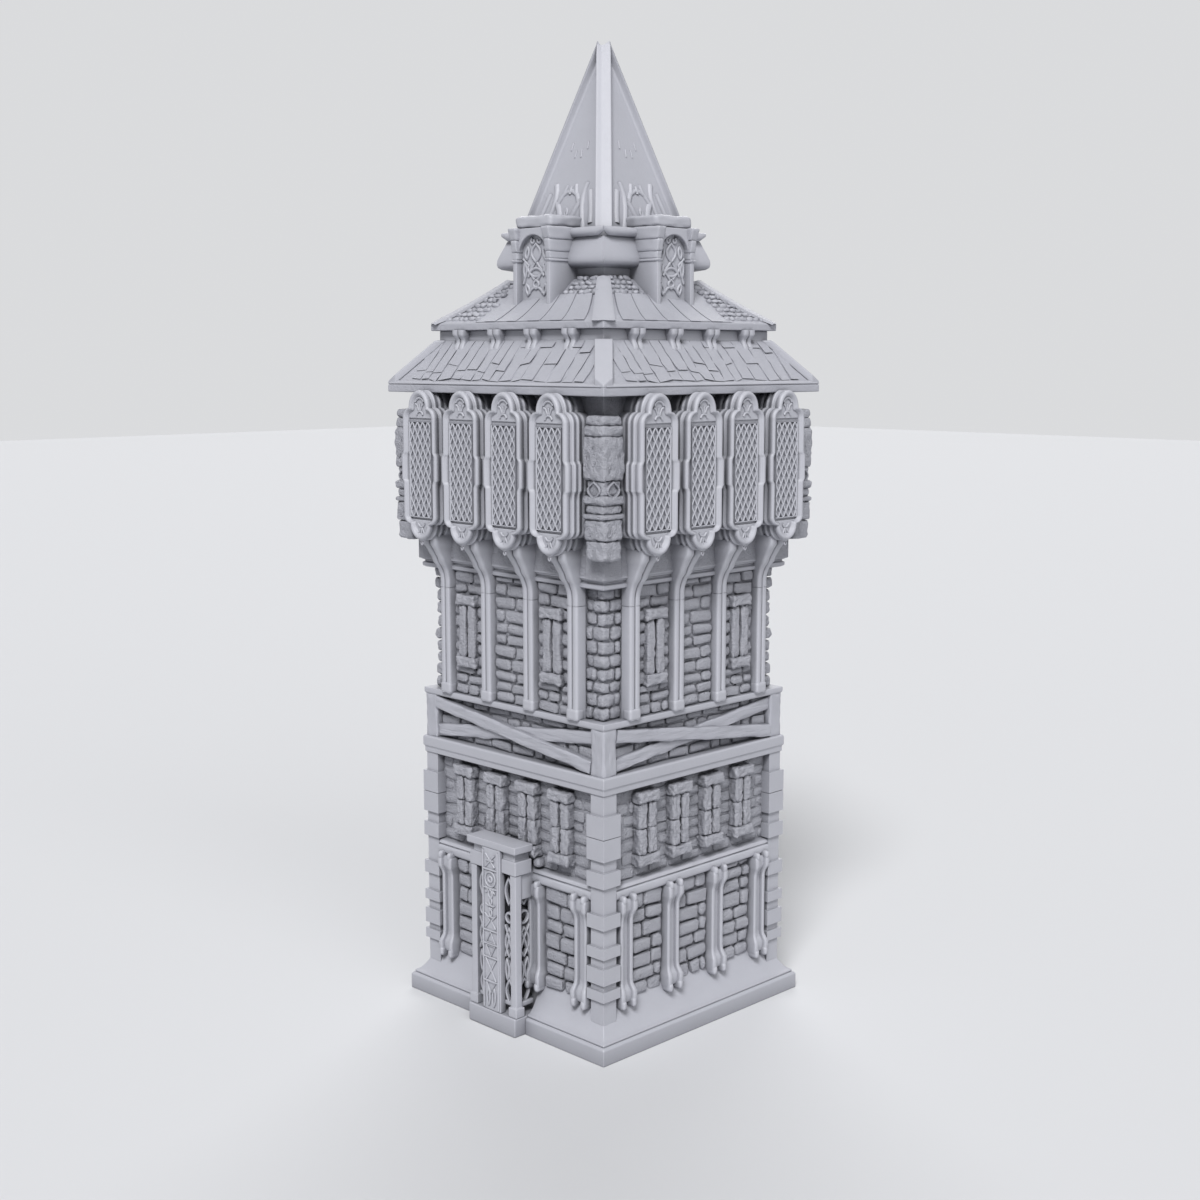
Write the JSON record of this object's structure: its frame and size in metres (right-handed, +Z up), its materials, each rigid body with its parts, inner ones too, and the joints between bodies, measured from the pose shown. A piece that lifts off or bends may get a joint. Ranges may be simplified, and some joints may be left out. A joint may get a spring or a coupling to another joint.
{
  "type": "tabletop watchtower model",
  "caption": "Tall square tabletop watchtower model with a carved porch, slit windows, a braced band, lattice oriels on corbels, stacked roofs, arched dormers and a spire.",
  "frame": {"origin": "centre of the base slab's underside, where the model stands on the table", "axes": "+Z up the tower; the porch faces -Y; +X is to the right of the porch seen from outside"},
  "size_m": [0.1148, 0.1148, 0.3351],
  "materials": {
    "stonework": "matte, unpainted cast resin",
    "carving": "matte, unpainted cast resin",
    "roofing": "matte, unpainted cast resin"
  },
  "bodies": {
    "root": {"base_plinth": "stonework", "base_batter": "stonework", "porch_plinth": "stonework", "porch_posts": "carving", "porch_screens": "carving", "porch_canopy": "stonework", "porch_pilaster": "carving", "lower_front_wall_left": "stonework", "lower_front_wall_right": "stonework", "lower_front_wall_head": "stonework", "lower_right_wall": "stonework", "lower_back_wall": "stonework", "lower_left_wall": "stonework", "corner_piers": "stonework", "buttresses": "carving", "string_course": "stonework", "slit_storey_floor": "stonework", "lower_slit_frames": "carving", "lower_belt": "stonework", "brace_infill": "stonework", "brace_posts": "stonework", "cross_braces": "carving", "middle_floor": "stonework", "middle_front_wall": "stonework", "middle_right_wall": "stonework", "middle_back_wall": "stonework", "middle_left_wall": "stonework", "wall_ribs": "carving", "middle_slit_frames": "carving", "gallery_floor": "stonework", "gallery_front_wall": "stonework", "gallery_right_wall": "stonework", "gallery_back_wall": "stonework", "gallery_left_wall": "stonework", "front_oriels": "carving", "right_oriels": "carving", "back_oriels": "carving", "left_oriels": "carving", "oriel_lattices": "carving", "gallery_corner_columns": "carving", "lower_roof": "roofing", "lower_roof_hips": "roofing", "attic_walls": "stonework", "roof_brackets": "carving", "upper_roof": "roofing", "upper_roof_hips": "roofing", "lantern": "stonework", "dormers": "carving", "spire": "roofing"}
  },
  "joints": []
}
